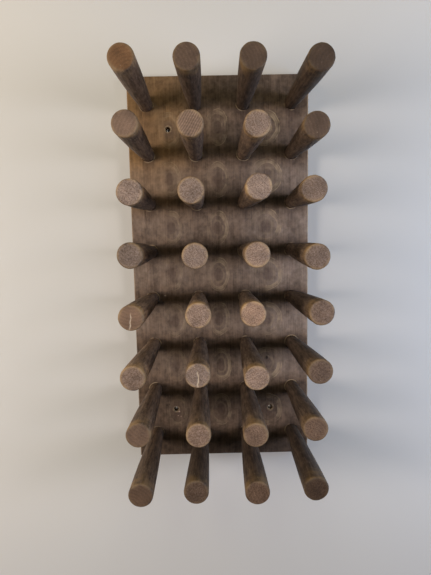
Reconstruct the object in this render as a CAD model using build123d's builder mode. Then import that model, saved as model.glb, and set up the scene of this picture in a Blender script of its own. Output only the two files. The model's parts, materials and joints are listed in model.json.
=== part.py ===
"""Wall rack of turned wooden pegs: a board glued up from four staves, with rows of tapered pegs.

Millimetres, +Z up. The origin is the centre of the board's back face, which lies on the wall at
y = 0, and the pegs point out into the room along -Y. Each stave and each peg is its own solid.
"""

from build123d import *
import os

# The board, glued up from upright staves
board_width = 300.0
board_height = 652.0
board_thickness = 20.0
front_edge_round = 2.0  # worn round along the board's front outline
back_edge_chamfer = 0.6
stave_far_left_width = 24.3
stave_left_width = 79.5
stave_middle_width = 123.0  # the right-hand stave takes what is left of the board's width
seam_groove_depth = 0.4  # the staves' eased edges leave a fine V along each glue line

# The grid of pegs, measured from the board's edges to the outer pegs' axes
row_count = 8
column_count = 4
left_margin = 31.5
right_margin = 28.5
top_margin = 45.5
bottom_margin = 42.0

# A peg is thin in the board and thick at the free end, and its side swells a little outside a
# straight taper
peg_reach = 189.0  # from the board's front face to the free end
peg_thin_end_diameter = 19.9  # the end inside the board, which tapers straight to fit its bore
peg_root_diameter = 21.0  # where it enters the board's front face
peg_middle_diameter = 29.8  # half way along its reach
peg_tip_diameter = 34.4
peg_tip_round = 2.4
peg_end_recess = 1.0  # the thin end stops this far inside the board's back face
peg_mouth_flare = 0.7  # the bore's broken edge round each peg

# Two counterbored screw holes near the top of the board and two near the bottom
screw_spacing_x = 167.0
screw_spacing_z = 482.0
screw_hole_diameter = 5.5
counterbore_diameter = 8.5
counterbore_depth = 8.0
counterbore_chamfer = 0.6

# The bores were drilled by hand, so no two pegs are quite parallel. Each pair is how far a
# peg's free end sits to the right of and above its own root. Rows run from the top, columns
# from the left.
peg_leans = (
    ((-2.5, -0.5), (-2.5, -1), (-0.5, -1.5), (3, -4.5)),
    ((-1, 2), (0, 1), (4, -1), (-2.5, -4)),
    ((1.5, -1), (-1, 0), (5, 3), (-5.5, -1)),
    ((-1, 0), (2, -2), (2, -2), (-1, -6)),
    ((-3, 0), (4.5, 1.5), (-4, 2), (5.5, 2)),
    ((-4, 0), (2, 2), (0, -3), (4, 4)),
    ((0.5, 2), (1, 0), (-2, -1), (-2, 6)),
    ((0.5, -2.5), (-4, 0.5), (-0.5, -2.5), (-0.5, 1.5)),
)

column_pitch = (board_width - left_margin - right_margin) / (column_count - 1)
row_pitch = (board_height - top_margin - bottom_margin) / (row_count - 1)
peg_hold = board_thickness - peg_end_recess  # how much of a peg is inside the board
bore_taper = (peg_root_diameter - peg_thin_end_diameter) / 2 / peg_hold  # radius gained per mm
bore_overrun = 3.0  # the bore's cutter stands out past both faces


def bore_radius(reach):
    """The bore's radius at a distance along a peg's axis from the board's front face."""
    return peg_root_diameter / 2 + bore_taper * reach


def peg_plane(row, column, reach):
    """The plane square to a peg's axis at a distance along it from the board's front face."""
    lean_x, lean_z = peg_leans[row][column]
    axis = Vector(lean_x, -peg_reach, lean_z).normalized()
    root_x = -board_width / 2 + left_margin + column * column_pitch
    root_z = board_height / 2 - top_margin - row * row_pitch
    root = Vector(root_x, -board_thickness, root_z)
    return Plane(origin=root + axis * reach, x_dir=(0, 0, 1), z_dir=axis)


def make_peg(row, column):
    """One peg: a thin end that fills its bore, and a swelled body turned about the same axis."""
    start = peg_plane(row, column, -peg_hold)
    root = peg_plane(row, column, 0)
    face_radius = peg_tip_diameter / 2 - peg_tip_round
    round_start = peg_reach - peg_tip_round
    with BuildPart(start) as peg:
        Cone(
            bottom_radius=bore_radius(-peg_hold),
            top_radius=bore_radius(0),
            height=peg_hold,
            align=(Align.CENTER, Align.CENTER, Align.MIN),
        )
        with BuildSketch(Plane(root.origin, x_dir=root.x_dir, z_dir=-root.y_dir)) as body:
            with BuildLine():
                Polyline((peg_root_diameter / 2, 0), (0, 0), (0, peg_reach), (face_radius, peg_reach))
                CenterArc((face_radius, round_start), peg_tip_round, start_angle=0, arc_size=90)
                Spline(
                    (peg_root_diameter / 2, 0),
                    (peg_middle_diameter / 2, peg_reach / 2),
                    (peg_tip_diameter / 2, round_start),
                )
            make_face()
        revolve(body.sketch, axis=Axis(root.origin, root.z_dir))
    return peg


# The whole board before it is divided: the staves are cut from it
with BuildPart() as board_blank:
    with BuildSketch(Plane.XZ) as board_outline:
        Rectangle(board_width, board_height)
    extrude(amount=board_thickness)
    fillet(board_blank.faces().sort_by(Axis.Y)[0].edges(), radius=front_edge_round)
    chamfer(board_blank.faces().sort_by(Axis.Y)[-1].edges(), length=back_edge_chamfer)


def cut_bore(row, column):
    """Cuts one peg's tapered bore and its broken front edge out of the stave being built."""
    deep = -board_thickness - bore_overrun
    with Locations(peg_plane(row, column, deep).location):
        Cone(
            bottom_radius=bore_radius(deep),
            top_radius=bore_radius(bore_overrun),
            height=bore_overrun - deep,
            align=(Align.CENTER, Align.CENTER, Align.MIN),
            mode=Mode.SUBTRACT,
        )
    edge_radius = bore_radius(-peg_mouth_flare)  # where the broken edge meets the bore
    with Locations(peg_plane(row, column, -peg_mouth_flare - bore_overrun).location):
        Cone(
            bottom_radius=edge_radius - bore_overrun,
            top_radius=edge_radius + peg_mouth_flare + bore_overrun,
            height=peg_mouth_flare + 2 * bore_overrun,
            align=(Align.CENTER, Align.CENTER, Align.MIN),
            mode=Mode.SUBTRACT,
        )


def cut_seam_groove(seam_x):
    """Cuts the fine V along a glue line, half of it from each of the two staves."""
    with BuildSketch(Plane.XY.offset(-board_height / 2)) as groove:
        with BuildLine():
            Polyline(
                (seam_x - seam_groove_depth, -board_thickness),
                (seam_x, seam_groove_depth - board_thickness),
                (seam_x + seam_groove_depth, -board_thickness),
                close=True,
            )
        make_face()
    extrude(groove.sketch, amount=board_height, mode=Mode.SUBTRACT)


def cut_screw_holes(x):
    """Cuts the upper and lower counterbored screw holes at one side of the board."""
    for z in (-screw_spacing_z / 2, screw_spacing_z / 2):
        mouth = Plane(origin=(x, -board_thickness, z), x_dir=(1, 0, 0), z_dir=(0, -1, 0))
        with Locations(mouth.location):
            CounterBoreHole(
                radius=screw_hole_diameter / 2,
                counter_bore_radius=counterbore_diameter / 2,
                counter_bore_depth=counterbore_depth,
                depth=board_thickness,
            )
        with Locations(mouth.offset(-counterbore_chamfer).location):
            Cone(
                bottom_radius=counterbore_diameter / 2,
                top_radius=counterbore_diameter / 2 + 2 * counterbore_chamfer,
                height=2 * counterbore_chamfer,
                align=(Align.CENTER, Align.CENTER, Align.MIN),
                mode=Mode.SUBTRACT,
            )


def make_stave(left, right):
    """One upright stave between two glue lines, with its share of the bores and screw holes."""
    with BuildPart() as stave:
        add(board_blank.part)
        with Locations(((left + right) / 2, -board_thickness / 2, 0)):
            Box(right - left, board_thickness, board_height, mode=Mode.INTERSECT)
        for seam_x in (left, right):
            if abs(seam_x) != board_width / 2:
                cut_seam_groove(seam_x)
        for x in (-screw_spacing_x / 2, screw_spacing_x / 2):
            reach = counterbore_diameter / 2 + counterbore_chamfer
            if left - reach < x < right + reach:
                cut_screw_holes(x)
        for row in range(row_count):
            for column in range(column_count):
                x = peg_plane(row, column, 0).origin.X
                reach = bore_radius(0) + peg_mouth_flare + bore_overrun
                if left - reach < x < right + reach:
                    cut_bore(row, column)
    return stave


os.makedirs("parts", exist_ok=True)

far_left_seam = stave_far_left_width - board_width / 2
left_seam = far_left_seam + stave_left_width
right_seam = left_seam + stave_middle_width
stave_sides = {
    "stave_far_left": (-board_width / 2, far_left_seam),
    "stave_left": (far_left_seam, left_seam),
    "stave_middle": (left_seam, right_seam),
    "stave_right": (right_seam, board_width / 2),
}
for name, (left, right) in stave_sides.items():
    stave = make_stave(left, right)
    stave.part.label = name
    export_step(stave.part, f"parts/{name}.step")

for row in range(row_count):
    for column in range(column_count):
        name = f"peg_row{row + 1}_col{column + 1}"
        peg = make_peg(row, column)
        peg.part.label = name
        export_step(peg.part, f"parts/{name}.step")
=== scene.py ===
"""Looks of a wall rack of tapered wooden pegs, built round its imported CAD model.

Metres, in the CAD's own frame: the board's back lies on the wall at y = 0, the pegs point out
into the room along -Y and +Z is up. Sizes are named in millimetres and turned to metres by MM.
"""

from __future__ import annotations

import json
import logging
import math
import random
from dataclasses import dataclass
from enum import Enum
from typing import Any

import bpy
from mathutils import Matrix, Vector


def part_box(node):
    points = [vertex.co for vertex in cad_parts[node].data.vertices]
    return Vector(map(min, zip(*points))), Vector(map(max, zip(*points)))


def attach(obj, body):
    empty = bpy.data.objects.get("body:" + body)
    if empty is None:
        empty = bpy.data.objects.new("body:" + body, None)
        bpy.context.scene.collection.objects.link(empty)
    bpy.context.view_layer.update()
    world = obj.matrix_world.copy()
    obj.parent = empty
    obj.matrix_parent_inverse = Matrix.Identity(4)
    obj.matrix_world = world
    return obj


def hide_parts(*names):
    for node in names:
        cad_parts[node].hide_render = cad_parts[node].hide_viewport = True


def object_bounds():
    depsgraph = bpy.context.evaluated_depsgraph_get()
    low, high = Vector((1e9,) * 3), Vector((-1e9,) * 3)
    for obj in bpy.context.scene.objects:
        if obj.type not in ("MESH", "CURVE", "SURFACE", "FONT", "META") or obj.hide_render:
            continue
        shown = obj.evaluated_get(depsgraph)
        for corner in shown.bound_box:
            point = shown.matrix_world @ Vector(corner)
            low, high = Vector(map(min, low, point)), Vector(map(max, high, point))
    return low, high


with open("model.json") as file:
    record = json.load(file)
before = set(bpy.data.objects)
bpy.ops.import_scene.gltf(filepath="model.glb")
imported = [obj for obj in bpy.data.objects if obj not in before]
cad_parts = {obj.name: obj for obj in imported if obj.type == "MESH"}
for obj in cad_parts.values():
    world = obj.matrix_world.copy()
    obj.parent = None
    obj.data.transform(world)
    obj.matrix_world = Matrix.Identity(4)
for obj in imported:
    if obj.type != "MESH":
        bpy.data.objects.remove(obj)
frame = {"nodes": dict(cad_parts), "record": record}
cad_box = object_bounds()

MM = 0.001
BODY = "root"
ROWS = 8
COLUMNS = 4
END_RING = 3.0  # an end's ring of points is taken from this many millimetres at the end
BUMP_DEPTH = 0.35  # height of the woods' fine relief, mm
BUMP_STRENGTH = 0.6
log = logging.getLogger("peg_rack")


def linear(colour: str, alpha: float = 1.0) -> tuple[float, float, float, float]:
    """Turns an sRGB hex colour to the linear values that shaders take.

    Args:
        colour: Six hex digits after a hash sign.
        alpha: The fourth value.

    Returns:
        Linear red, green, blue and alpha.
    """
    shares = [int(colour[i : i + 2], 16) / 255 for i in (1, 3, 5)]
    red, green, blue = (
        share / 12.92 if share <= 0.04045 else ((share + 0.055) / 1.055) ** 2.4 for share in shares
    )
    return red, green, blue, alpha


def add_node(
    tree: bpy.types.NodeTree,
    kind: str,
    inputs: dict[str | int, Any] | None = None,
    **settings: Any,
) -> bpy.types.Node:
    """Adds one node with its settings, and sets or links its inputs.

    Args:
        tree: The tree that gets the node.
        kind: The node's type name.
        inputs: For each input's name or index, a value, a socket, or a node whose first
            shown output feeds it.
        **settings: The node's own properties.

    Returns:
        The new node.
    """
    node = tree.nodes.new(kind)
    for name, value in settings.items():
        setattr(node, name, value)
    for key, value in (inputs or {}).items():
        if isinstance(key, int):
            socket = node.inputs[key]
        else:
            socket = next(s for s in node.inputs if s.name == key and s.enabled)
        if isinstance(value, bpy.types.Node):
            value = next(s for s in value.outputs if s.enabled)
        if isinstance(value, bpy.types.NodeSocket):
            tree.links.new(value, socket)
        else:
            socket.default_value = value
    return node


def new_material(name: str) -> tuple[bpy.types.Material, bpy.types.NodeTree]:
    """Makes an empty node material.

    Args:
        name: The material's name.

    Returns:
        The material and its cleared node tree.
    """
    material = bpy.data.materials.new(name)
    material.use_nodes = True
    material.node_tree.nodes.clear()
    return material, material.node_tree


class Grain(Enum):
    """How a peg's free end was left when it was cut to length."""

    SMOOTH = 0.0
    PORED = 0.5
    SAWN = 1.0


@dataclass(frozen=True)
class PegTone:
    """What sets one peg apart from its neighbours: partly its own tone and partly painted shade,
    darker where less light reaches it.

    Attributes:
        end: How pale its free end is, where 1 is the usual.
        side: How pale its side is, where 1 is the usual.
        warm: How red-brown its end is, from 0 to 1.
        grain: How its end was cut.
        split: Width of the drying split across its end, in mm, or 0.
        split_turn: The split's direction, in degrees from upright.
    """
    # end: How pale its free end is, where 1 is the usual, with painted shade included. side: How
    # pale its side is, where 1 is the usual, with painted shade included.

    end: float = 1.0
    side: float = 1.0
    warm: float = 0.3
    grain: Grain = Grain.PORED
    split: float = 0.0
    split_turn: float = 0.0


# From the top row down, each from left to right
# The top and bottom rows and the outer columns are darker partly as painted shade, and the top
# left peg's warm end is partly painted warm light.
PEG_TONES: tuple[tuple[PegTone, ...], ...] = (
    (
        PegTone(0.62, 1.15, 1.00, Grain.SMOOTH),
        PegTone(0.45, 0.81, 0.45, Grain.SMOOTH),
        PegTone(0.35, 0.75, 0.45, Grain.SMOOTH),
        PegTone(0.26, 0.63, 0.45, Grain.SMOOTH),
    ),
    (
        PegTone(0.74, 1.20, 0.38, Grain.SMOOTH),
        PegTone(1.00, 1.24, 0.33, Grain.SAWN),
        PegTone(1.05, 1.38, 0.05),
        PegTone(0.41, 0.87, 0.38, Grain.SMOOTH),
    ),
    (
        PegTone(1.14, 1.10, 0.00),
        PegTone(1.00, 1.29, 0.00),
        PegTone(1.32, 1.47, 0.00),
        PegTone(0.87, 1.06, 0.06),
    ),
    (
        PegTone(0.71, 0.83, 0.00),
        PegTone(1.05, 1.10, 0.00),
        PegTone(1.22, 1.10, 0.11),
        PegTone(0.81, 0.97, 0.06),
    ),
    (
        PegTone(0.74, 1.33, 0.50, Grain.SMOOTH, split=1.0, split_turn=8.0),
        PegTone(1.19, 1.47, 0.14),
        PegTone(1.44, 1.38, 0.28),
        PegTone(0.79, 0.78, 0.22),
    ),
    (
        PegTone(0.86, 1.38, 0.17),
        PegTone(1.05, 1.10, 0.00, split=1.2),
        PegTone(1.28, 1.15, 0.11),
        PegTone(0.57, 0.72, 0.28),
    ),
    (
        PegTone(0.57, 1.01, 0.44, Grain.SMOOTH),
        PegTone(1.00, 1.01, 0.22),
        PegTone(0.76, 0.97, 0.33),
        PegTone(0.67, 0.78, 0.39),
    ),
    (
        PegTone(0.43, 0.83, 0.55, Grain.SMOOTH),
        PegTone(0.41, 0.55, 0.39),
        PegTone(0.57, 0.64, 0.50),
        PegTone(0.27, 0.55, 0.55),
    ),
)


@dataclass(frozen=True)
class PegAxis:
    """Where one peg stands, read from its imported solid.

    Attributes:
        node: The CAD node's name.
        inner: Centre of the thin end, inside the board.
        tip: Centre of the free end.
        inner_radius: Radius at the thin end.
        root_radius: Radius at the board's front face.
        middle_radius: Radius half way from there to the free end.
        tip_radius: Radius at the free end.
        hold: Length inside the board.
    """

    node: str
    inner: Vector
    tip: Vector
    inner_radius: float
    root_radius: float
    middle_radius: float
    tip_radius: float
    hold: float

    @classmethod
    def of(cls, row: int, column: int, front: float) -> PegAxis:
        """Reads a peg's axis and radii from the rings of its solid.

        Args:
            row: The peg's row, from 1 at the top.
            column: The peg's column, from 1 at the left.
            front: The Y of the board's front face.

        Returns:
            The peg's axis and radii.
        """
        node = f"peg_row{row}_col{column}"
        low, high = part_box(node)
        points = [v.co for v in frame["nodes"][node].data.vertices]
        thin_end = [p for p in points if p.y > high.y - END_RING * MM]
        free_end = [p for p in points if p.y < low.y + END_RING * MM]
        ends = []
        for part in (thin_end, free_end):
            corners = [(min(p[i] for p in part), max(p[i] for p in part)) for i in range(3)]
            centre = Vector([(a + b) / 2 for a, b in corners])
            ends.append((centre, max(b - a for a, b in (corners[0], corners[2])) / 2))
        (inner, inner_radius), (tip, tip_radius) = ends
        direction = (tip - inner).normalized()
        tip = inner + direction * ((low.y - inner.y) / direction.y)
        rings = []
        for point in points:
            along = (point - inner).dot(direction)
            rings.append((along, (point - inner - direction * along).length))
        hold = (front - inner.y) / direction.y
        middle = (hold + (tip - inner).length) / 2
        root_radius = cls.radius_at(rings, hold)
        middle_radius = cls.radius_at(rings, middle)
        return cls(node, inner, tip, inner_radius, root_radius, middle_radius, tip_radius, hold)

    @staticmethod
    def radius_at(rings: list[tuple[float, float]], along: float) -> float:
        """Finds a turned solid's radius between two of its rings.

        Args:
            rings: Distance along the axis and radius of each of its vertices.
            along: The distance wanted.

        Returns:
            The radius there.
        """
        below = max(ring for ring in rings if ring[0] <= along)
        above = min(ring for ring in rings if ring[0] > along)
        share = (along - below[0]) / (above[0] - below[0])
        return below[1] + (above[1] - below[1]) * share

    @property
    def direction(self) -> Vector:
        """The way from the thin end to the free end."""
        return (self.tip - self.inner).normalized()

    def at_depth(self, y: float) -> Vector:
        """Finds the axis's point at one distance from the wall.

        Args:
            y: The point's Y.

        Returns:
            The point.
        """
        return self.inner + self.direction * ((y - self.inner.y) / self.direction.y)


@dataclass(frozen=True)
class StainedPegWood:
    """Beech or a like close hardwood, turned, stained dark and oiled, then handled for years.

    Along the side the fibres show as fine streaks, with scuffs where mugs have slid, and the last
    centimetres at the free end are rubbed back to yellow-brown. The end grain is pinkish grey,
    its open pores have kept the stain, and its rubbed edge is the palest part, partly from wear
    and partly a painted highlight. Growth rings are about 4.4 mm apart. Pores are about 0.1 mm
    across and are drawn eight times as coarse, so that they show.

    Attributes:
        ring_spacing: From one growth ring to the next, mm.
        pore_width: Width of a pore as drawn, mm.
        streak_width: Width of a streak on the side, mm.
        streak_stretch: A streak's width over its length.
        scuff_stretch: A scuff's width over its length.
        patch_scale: Scale of the noise that makes one part of a peg paler than another, per mm.
        scuff_scale: Scale of the scuffs' noise, per mm.
        saw_spacing: From one saw mark to the next, mm.
        saw_turn: How far the saw marks lean from upright, radians.
        roughness: Roughness in the side's pores and between them.
        side_dark: Colour of the side's darkest fibres.
        side_pale: Colour of its palest fibres.
        scuff: Colour of a scuff.
        rubbed: Colour of the rubbed band by the free end.
        end: Colour of the end grain.
        end_pore: Colour of the pores in it.
        rim: Colour of the rubbed edge, partly wear and partly a painted highlight.
        split_wood: Colour of the bare wood in a drying split.
        warm_tint: What the red-brown ends are multiplied by.
    """

    ring_spacing: float = 4.4
    pore_width: float = 0.85
    streak_width: float = 1.6
    streak_stretch: float = 0.11
    scuff_stretch: float = 0.3
    patch_scale: float = 0.06
    scuff_scale: float = 0.34
    saw_spacing: float = 2.9
    saw_turn: float = 0.55
    roughness: tuple[float, float] = (0.8, 0.5)
    side_dark: str = "#44372e"
    side_pale: str = "#705c4b"
    scuff: str = "#a28f7b"
    rubbed: str = "#94784f"
    end: str = "#93837a"
    end_pore: str = "#6a584c"
    rim: str = "#a8906f"
    split_wood: str = "#cabba8"
    warm_tint: str = "#ffd7a4"

    def build(self) -> bpy.types.Material:
        """Builds the material.

        Returns:
            The material, which reads the attributes that the peg's tree stores.
        """
        material, tree = new_material("stained_peg_wood")
        grain = add_node(tree, "ShaderNodeAttribute", attribute_name="grain").outputs["Vector"]
        wear = add_node(tree, "ShaderNodeAttribute", attribute_name="wear").outputs["Vector"]
        tone = add_node(tree, "ShaderNodeAttribute", attribute_name="tone").outputs["Vector"]
        sawn = add_node(tree, "ShaderNodeAttribute", attribute_name="sawn").outputs["Fac"]
        split = add_node(tree, "ShaderNodeAttribute", attribute_name="split").outputs["Fac"]
        along, rim, face = add_node(tree, "ShaderNodeSeparateXYZ", {"Vector": wear}).outputs
        end_shade, side_shade, warm = add_node(
            tree, "ShaderNodeSeparateXYZ", {"Vector": tone}
        ).outputs

        # fibres: long streaks on the side, dots on the end
        fibre_space = add_node(
            tree,
            "ShaderNodeVectorMath",
            {0: grain, 1: (1.0, 1.0, self.streak_stretch)},
            operation="MULTIPLY",
        )
        streaks = add_node(
            tree,
            "ShaderNodeTexNoise",
            {
                "Vector": fibre_space,
                "Scale": 0.5 / self.streak_width,
                "Detail": 4.0,
                "Roughness": 0.62,
            },
        ).outputs["Fac"]
        pores = add_node(
            tree,
            "ShaderNodeTexNoise",
            {
                "Vector": fibre_space,
                "Scale": 0.6 / self.pore_width,
                "Detail": 3.0,
                "Roughness": 0.75,
            },
        ).outputs["Fac"]
        patches = add_node(
            tree,
            "ShaderNodeTexNoise",
            {"Vector": grain, "Scale": self.patch_scale, "Detail": 4.0, "Roughness": 0.6},
        ).outputs["Fac"]
        side = self.build_side(tree, grain, streaks, patches, along)
        side = add_node(
            tree, "ShaderNodeVectorMath", {0: side, "Scale": side_shade}, operation="SCALE"
        )
        end = self.build_end(tree, grain, pores, patches, sawn)
        end = add_node(
            tree, "ShaderNodeVectorMath", {0: end, "Scale": end_shade}, operation="SCALE"
        )
        tinted = add_node(
            tree,
            "ShaderNodeVectorMath",
            {0: end, 1: linear(self.warm_tint)[:3]},
            operation="MULTIPLY",
        )
        end = add_node(
            tree, "ShaderNodeMix", {"Factor": warm, "A": end, "B": tinted}, data_type="RGBA"
        )
        colour = add_node(
            tree, "ShaderNodeMix", {"Factor": face, "A": side, "B": end}, data_type="RGBA"
        )

        # the rubbed edge, stronger in some places than in others: partly wear and partly a painted
        # highlight where the rounded rim catches the light
        rub_and_highlight = add_node(
            tree,
            "ShaderNodeMapRange",
            {"Value": patches, "From Min": 0.38, "From Max": 0.65, "To Min": 0.0, "To Max": 0.7},
        )
        rub_and_highlight = add_node(tree, "ShaderNodeMath", {0: rim, 1: rub_and_highlight}, operation="MULTIPLY")
        rim_wear_and_highlight_colour = add_node(
            tree,
            "ShaderNodeVectorMath",
            {0: linear(self.rim)[:3], "Scale": end_shade},
            operation="SCALE",
        )
        colour = add_node(
            tree, "ShaderNodeMix", {"Factor": rub_and_highlight, "A": colour, "B": rim_wear_and_highlight_colour}, data_type="RGBA"
        )
        colour = add_node(
            tree,
            "ShaderNodeMix",
            {"Factor": split, "A": colour, "B": linear(self.split_wood)},
            data_type="RGBA",
        )
        height = add_node(tree, "ShaderNodeMath", {0: streaks, 1: pores}, operation="ADD")
        bump = add_node(
            tree,
            "ShaderNodeBump",
            {"Strength": BUMP_STRENGTH, "Distance": BUMP_DEPTH * MM, "Height": height},
        )
        rough, smooth = self.roughness
        roughness = add_node(
            tree, "ShaderNodeMapRange", {"Value": streaks, "To Min": rough, "To Max": smooth}
        )
        shader = add_node(
            tree,
            "ShaderNodeBsdfPrincipled",
            {
                "Base Color": colour,
                "Roughness": roughness,
                "Normal": bump,
                "Specular IOR Level": 0.3,
            },
        )
        add_node(tree, "ShaderNodeOutputMaterial", {"Surface": shader})
        return material

    def build_side(
        self,
        tree: bpy.types.NodeTree,
        grain: bpy.types.NodeSocket,
        streaks: bpy.types.NodeSocket,
        patches: bpy.types.NodeSocket,
        along: bpy.types.NodeSocket,
    ) -> bpy.types.Node:
        """Adds the side's colour: streaks, scuffs and the rubbed band near the free end.

        Args:
            tree: The material's tree.
            grain: The wood's own space, mm.
            streaks: The fibres' noise.
            patches: A coarse noise.
            along: The share of the way to the free end.

        Returns:
            The node that gives the colour.
        """
        streak = add_node(
            tree, "ShaderNodeMapRange", {"Value": streaks, "From Min": 0.36, "From Max": 0.64}
        )
        colour = add_node(
            tree,
            "ShaderNodeMix",
            {"Factor": streak, "A": linear(self.side_dark), "B": linear(self.side_pale)},
            data_type="RGBA",
        )
        cloud = add_node(
            tree,
            "ShaderNodeMapRange",
            {"Value": patches, "From Min": 0.3, "From Max": 0.7, "To Min": 0.72, "To Max": 1.25},
        )
        colour = add_node(
            tree, "ShaderNodeVectorMath", {0: colour, "Scale": cloud}, operation="SCALE"
        )
        # thin pale scuffs, more of them towards the free end
        scuff_space = add_node(
            tree,
            "ShaderNodeVectorMath",
            {0: grain, 1: (1.0, 1.0, self.scuff_stretch)},
            operation="MULTIPLY",
        )
        scuffs = add_node(
            tree,
            "ShaderNodeTexNoise",
            {"Vector": scuff_space, "Scale": self.scuff_scale, "Detail": 5.0, "Roughness": 0.7},
        ).outputs["Fac"]
        scuffs = add_node(
            tree,
            "ShaderNodeMapRange",
            {"Value": scuffs, "From Min": 0.56, "From Max": 0.72, "To Max": 0.7},
        )
        near_end = add_node(
            tree,
            "ShaderNodeMapRange",
            {"Value": along, "From Min": 0.25, "From Max": 0.95, "To Min": 0.15, "To Max": 1.0},
        )
        scuffs = add_node(tree, "ShaderNodeMath", {0: scuffs, 1: near_end}, operation="MULTIPLY")
        colour = add_node(
            tree,
            "ShaderNodeMix",
            {"Factor": scuffs, "A": colour, "B": linear(self.scuff)},
            data_type="RGBA",
        )
        # the band's edge wanders by some centimetres
        edge = add_node(
            tree, "ShaderNodeMath", {0: patches, 1: 0.55, 2: along}, operation="MULTIPLY_ADD"
        )
        band = add_node(
            tree,
            "ShaderNodeMapRange",
            {"Value": edge, "From Min": 1.14, "From Max": 1.4, "To Max": 0.75},
            interpolation_type="SMOOTHSTEP",
        )
        return add_node(
            tree,
            "ShaderNodeMix",
            {"Factor": band, "A": colour, "B": linear(self.rubbed)},
            data_type="RGBA",
        )

    def build_end(
        self,
        tree: bpy.types.NodeTree,
        grain: bpy.types.NodeSocket,
        pores: bpy.types.NodeSocket,
        patches: bpy.types.NodeSocket,
        sawn: bpy.types.NodeSocket,
    ) -> bpy.types.Node:
        """Adds the end grain's colour: pores, growth rings and saw marks.

        Args:
            tree: The material's tree.
            grain: The wood's own space, mm.
            pores: The pores' noise.
            patches: A coarse noise.
            sawn: How coarse the end was left, from 0, smooth, to 1, sawn.

        Returns:
            The node that gives the colour.
        """
        # only a pored end shows its pores: wax fills a smooth one's, and dust a sawn one's
        open_pores = add_node(
            tree,
            "ShaderNodeMath",
            {0: add_node(tree, "ShaderNodeMath", {0: sawn, 1: 0.5}, operation="SUBTRACT")},
            operation="ABSOLUTE",
        )
        open_pores = add_node(
            tree, "ShaderNodeMapRange", {"Value": open_pores, "From Max": 0.5, "To Max": 0.62}
        )
        pore = add_node(
            tree, "ShaderNodeMapRange", {"Value": pores, "From Min": 0.40, "From Max": 0.58}
        )
        pore = add_node(tree, "ShaderNodeMath", {0: pore, 1: open_pores}, operation="MAXIMUM")
        colour = add_node(
            tree,
            "ShaderNodeMix",
            {"Factor": pore, "A": linear(self.end_pore), "B": linear(self.end)},
            data_type="RGBA",
        )
        rings = add_node(
            tree,
            "ShaderNodeTexWave",
            {
                "Vector": grain,
                "Scale": 2 * math.pi / (20 * self.ring_spacing),
                "Distortion": 5.0,
                "Detail": 3.0,
                "Detail Scale": 0.2,
            },
            wave_type="RINGS",
            rings_direction="Z",
        ).outputs["Fac"]
        ring_shade = add_node(
            tree, "ShaderNodeMapRange", {"Value": rings, "To Min": 0.92, "To Max": 1.07}
        )
        cloud = add_node(
            tree,
            "ShaderNodeMapRange",
            {"Value": patches, "From Min": 0.3, "From Max": 0.7, "To Min": 0.75, "To Max": 1.25},
        )
        marks = add_node(
            tree,
            "ShaderNodeTexWave",
            {
                "Vector": add_node(
                    tree,
                    "ShaderNodeMapping",
                    {"Vector": grain, "Rotation": (0.0, 0.0, self.saw_turn)},
                ),
                "Scale": 2 * math.pi / (20 * self.saw_spacing),
                "Distortion": 5.0,
                "Detail": 3.0,
                "Detail Scale": 0.35,
                "Detail Roughness": 0.65,
            },
            bands_direction="X",
        ).outputs["Fac"]
        deep = add_node(
            tree,
            "ShaderNodeMapRange",
            {"Value": sawn, "From Min": 0.6, "From Max": 1.0, "To Min": 1.0, "To Max": 0.62},
        )
        mark_shade = add_node(
            tree,
            "ShaderNodeMapRange",
            {"Value": marks, "From Min": 0.2, "From Max": 0.7, "To Min": deep, "To Max": 1.0},
        )
        shade = add_node(tree, "ShaderNodeMath", {0: ring_shade, 1: cloud}, operation="MULTIPLY")
        shade = add_node(tree, "ShaderNodeMath", {0: shade, 1: mark_shade}, operation="MULTIPLY")
        return add_node(
            tree, "ShaderNodeVectorMath", {0: colour, "Scale": shade}, operation="SCALE"
        )


@dataclass(frozen=True)
class BoardLayout:
    """The regular grid that the pegs' roots stand on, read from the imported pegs.

    Attributes:
        first_x: X of the left column, where it enters the board.
        first_z: Z of the top row.
        pitch_x: From column to column.
        pitch_z: From row to row.
    """

    first_x: float
    first_z: float
    pitch_x: float
    pitch_z: float

    @classmethod
    def of(cls, pegs: dict[tuple[int, int], PegAxis], front: float) -> BoardLayout:
        """Reads the grid from the pegs' axes at the board's front face.

        Args:
            pegs: The pegs' axes by (row, column).
            front: Y of the board's front face.

        Returns:
            The grid.
        """
        first = pegs[1, 1].at_depth(front)
        last = pegs[ROWS, COLUMNS].at_depth(front)
        pitch_x = (last.x - first.x) / (COLUMNS - 1)
        pitch_z = (first.z - last.z) / (ROWS - 1)
        return cls(first.x, first.z, pitch_x, pitch_z)


@dataclass(frozen=True)
class Mark:
    """A round or upright oval blemish on the board's face.

    Attributes:
        x: Its middle's X, mm.
        z: Its middle's Z, mm.
        width: Half its width, mm.
        height: Half its height, mm.
        soft: The share of its radius over which it fades.
        strength: How much of its colour shows.
        colour: Its colour as sRGB hex.
    """

    x: float
    z: float
    width: float
    height: float
    soft: float
    strength: float
    colour: str


@dataclass(frozen=True)
class Knot:
    """A small knot, which the grain flows round.

    Attributes:
        x: Its middle's X, mm.
        z: Its middle's Z, mm.
        reach: How far away the grain still bends, mm.
        push: How far the grain bends at the knot, mm.
    """

    x: float = 78.0
    z: float = -150.0
    reach: float = 34.0
    push: float = 7.0


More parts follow.
